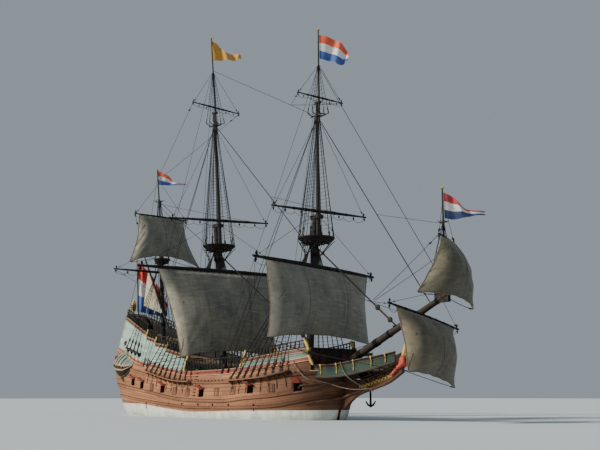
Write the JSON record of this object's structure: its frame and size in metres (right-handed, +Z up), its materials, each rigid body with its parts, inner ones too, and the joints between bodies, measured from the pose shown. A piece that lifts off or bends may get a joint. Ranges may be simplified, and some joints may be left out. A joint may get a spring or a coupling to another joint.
{
  "type": "three-masted square-rigged seventeenth-century sailing ship, 1:10 scale model",
  "caption": "Tall ship afloat under courses, spritsails and mizzen sails: oiled wooden hull, pale green upper works, long beakhead, high narrow stern.",
  "frame": {"origin": "on the centreline amidships, at the waterline", "axes": "+X forward to the bow, +Y to port, +Z up"},
  "size_m": [6.1964, 2.2103, 5.636],
  "materials": {
    "oiled_wood": "oiled planking, weathered",
    "green_paint": "old pale green paint on planks",
    "dark_green_paint": "dark green paint",
    "red_paint": "red paint",
    "gilding": "gilded carving",
    "spar_wood": "dark tarred spar",
    "mast_wood": "brown varnished mast",
    "tarred_rope": "tarred hemp",
    "canvas": "weathered flax canvas",
    "black_iron": "blackened iron"
  },
  "bodies": {
    "ship": {"hull": "oiled_wood", "stem_knee": "oiled_wood", "beakhead_platform": "oiled_wood", "main_channel_starboard": "oiled_wood", "main_channel_port": "oiled_wood", "fore_channel_starboard": "oiled_wood", "fore_channel_port": "oiled_wood", "forecastle": "green_paint", "quarterdeck": "green_paint", "poop": "green_paint", "quarter_gallery_starboard": "green_paint", "quarter_gallery_port": "green_paint", "head_panel_starboard": "dark_green_paint", "head_panel_port": "dark_green_paint", "forecastle_rail_starboard": "red_paint", "forecastle_rail_port": "red_paint", "figurehead": "red_paint", "stern_lantern": "gilding", "ensign_staff": "mast_wood", "foremast": "mast_wood", "mainmast": "mast_wood", "mizzenmast": "mast_wood", "fore_topmast": "mast_wood", "main_topmast": "mast_wood", "mizzen_topmast": "mast_wood", "bowsprit": "mast_wood", "sprit_topmast": "mast_wood", "fore_top": "spar_wood", "main_top": "spar_wood", "mizzen_top": "spar_wood", "sprit_top": "spar_wood", "forestay": "tarred_rope", "mainstay": "tarred_rope", "mizzen_stay": "tarred_rope", "anchor": "black_iron", "lateen_yard": "spar_wood", "lateen_sail": "canvas"},
    "fore_yard": {"fore_yard": "spar_wood", "fore_course": "canvas"},
    "fore_topsail_yard": {"fore_topsail_yard": "spar_wood"},
    "fore_topgallant_yard": {"fore_topgallant_yard": "spar_wood"},
    "main_yard": {"main_yard": "spar_wood", "main_course": "canvas"},
    "main_topsail_yard": {"main_topsail_yard": "spar_wood"},
    "main_topgallant_yard": {"main_topgallant_yard": "spar_wood"},
    "crossjack_yard": {"crossjack_yard": "spar_wood"},
    "mizzen_topsail_yard": {"mizzen_topsail_yard": "spar_wood", "mizzen_topsail": "canvas"},
    "sprit_topsail_yard": {"sprit_topsail_yard": "spar_wood", "sprit_topsail": "canvas"},
    "spritsail_yard": {"spritsail_yard": "spar_wood", "spritsail": "canvas"},
    "quarter_port_lid": {"quarter_port_lid": "oiled_wood"},
    "after_port_lid": {"after_port_lid": "oiled_wood"},
    "main_port_lid": {"main_port_lid": "oiled_wood"},
    "waist_port_lid": {"waist_port_lid": "oiled_wood"},
    "fore_port_lid": {"fore_port_lid": "red_paint"},
    "bow_port_lid": {"bow_port_lid": "oiled_wood"},
    "rudder": {"rudder": "oiled_wood"}
  },
  "joints": [
    {"name": "fore_brace", "type": "hinge", "parent": "ship", "child": "fore_yard", "pos_m": [1.6865, 0, 1.661], "axis": [0.0652, 0, 0.9979], "range_deg": [-39, 17]},
    {"name": "fore_topsail_brace", "type": "hinge", "parent": "ship", "child": "fore_topsail_yard", "pos_m": [1.76937, 0, 2.286], "axis": [-0.0072, 0, 1], "range_deg": [-22, 38]},
    {"name": "fore_topgallant_brace", "type": "hinge", "parent": "ship", "child": "fore_topgallant_yard", "pos_m": [1.79348, 0, 3.625], "axis": [-0.0088, 0, 1], "range_deg": [-26, 34]},
    {"name": "main_brace", "type": "hinge", "parent": "ship", "child": "main_yard", "pos_m": [-0.16672, 0, 1.81], "axis": [-0.1233, 0, 0.9924], "range_deg": [-18, 38]},
    {"name": "main_topsail_brace", "type": "hinge", "parent": "ship", "child": "main_topsail_yard", "pos_m": [-0.18367, 0, 2.48], "axis": [-0.1036, 0, 0.9946], "range_deg": [-8, 52]},
    {"name": "main_topgallant_brace", "type": "hinge", "parent": "ship", "child": "main_topgallant_yard", "pos_m": [-0.32324, 0, 4.05], "axis": [-0.1217, 0, 0.9926], "range_deg": [-31, 29]},
    {"name": "crossjack_brace", "type": "hinge", "parent": "ship", "child": "crossjack_yard", "pos_m": [-1.58243, 0, 1.95], "axis": [-0.1211, 0, 0.9926], "range_deg": [-24, 36]},
    {"name": "mizzen_topsail_brace", "type": "hinge", "parent": "ship", "child": "mizzen_topsail_yard", "pos_m": [-1.66689, 0, 2.765], "axis": [-0.1621, 0, 0.9868], "range_deg": [-29, 31]},
    {"name": "sprit_topsail_brace", "type": "hinge", "parent": "ship", "child": "sprit_topsail_yard", "pos_m": [3.59893, 0, 1.725], "axis": [-0.0018, 0, 1], "range_deg": [-57, 3]},
    {"name": "spritsail_brace", "type": "hinge", "parent": "ship", "child": "spritsail_yard", "pos_m": [3.33, 0, 0.99], "axis": [-0.396, 0, 0.9183], "range_deg": [-25, 12]},
    {"name": "quarter_lid_hinge", "type": "hinge", "parent": "ship", "child": "quarter_port_lid", "pos_m": [-1.49961, -0.42862, 0.4825], "axis": [-0.995, 0.1002, 0], "range_deg": [-130, 0]},
    {"name": "after_lid_hinge", "type": "hinge", "parent": "ship", "child": "after_port_lid", "pos_m": [-1.20992, -0.4612, 0.4395], "axis": [-0.9973, 0.0735, 0], "range_deg": [-130, 0]},
    {"name": "main_lid_hinge", "type": "hinge", "parent": "ship", "child": "main_port_lid", "pos_m": [-0.63301, -0.49597, 0.3845], "axis": [-0.9998, 0.0177, 0], "range_deg": [-130, 0]},
    {"name": "waist_lid_hinge", "type": "hinge", "parent": "ship", "child": "waist_port_lid", "pos_m": [0.251, -0.50578, 0.3325], "axis": [-1, 0, 0], "range_deg": [-130, 0]},
    {"name": "fore_lid_hinge", "type": "hinge", "parent": "ship", "child": "fore_port_lid", "pos_m": [1.19402, -0.49347, 0.3725], "axis": [-0.9993, -0.0364, 0], "range_deg": [-112, 0]},
    {"name": "bow_lid_hinge", "type": "hinge", "parent": "ship", "child": "bow_port_lid", "pos_m": [1.87499, -0.38862, 0.3905], "axis": [-0.9327, -0.3605, 0], "range_deg": [-130, 0]},
    {"name": "rudder_hinge", "type": "hinge", "parent": "ship", "child": "rudder", "pos_m": [-2.14208, 0, -0.5], "axis": [-0.0075, 0, 1], "range_deg": [-35, 35]}
  ]
}
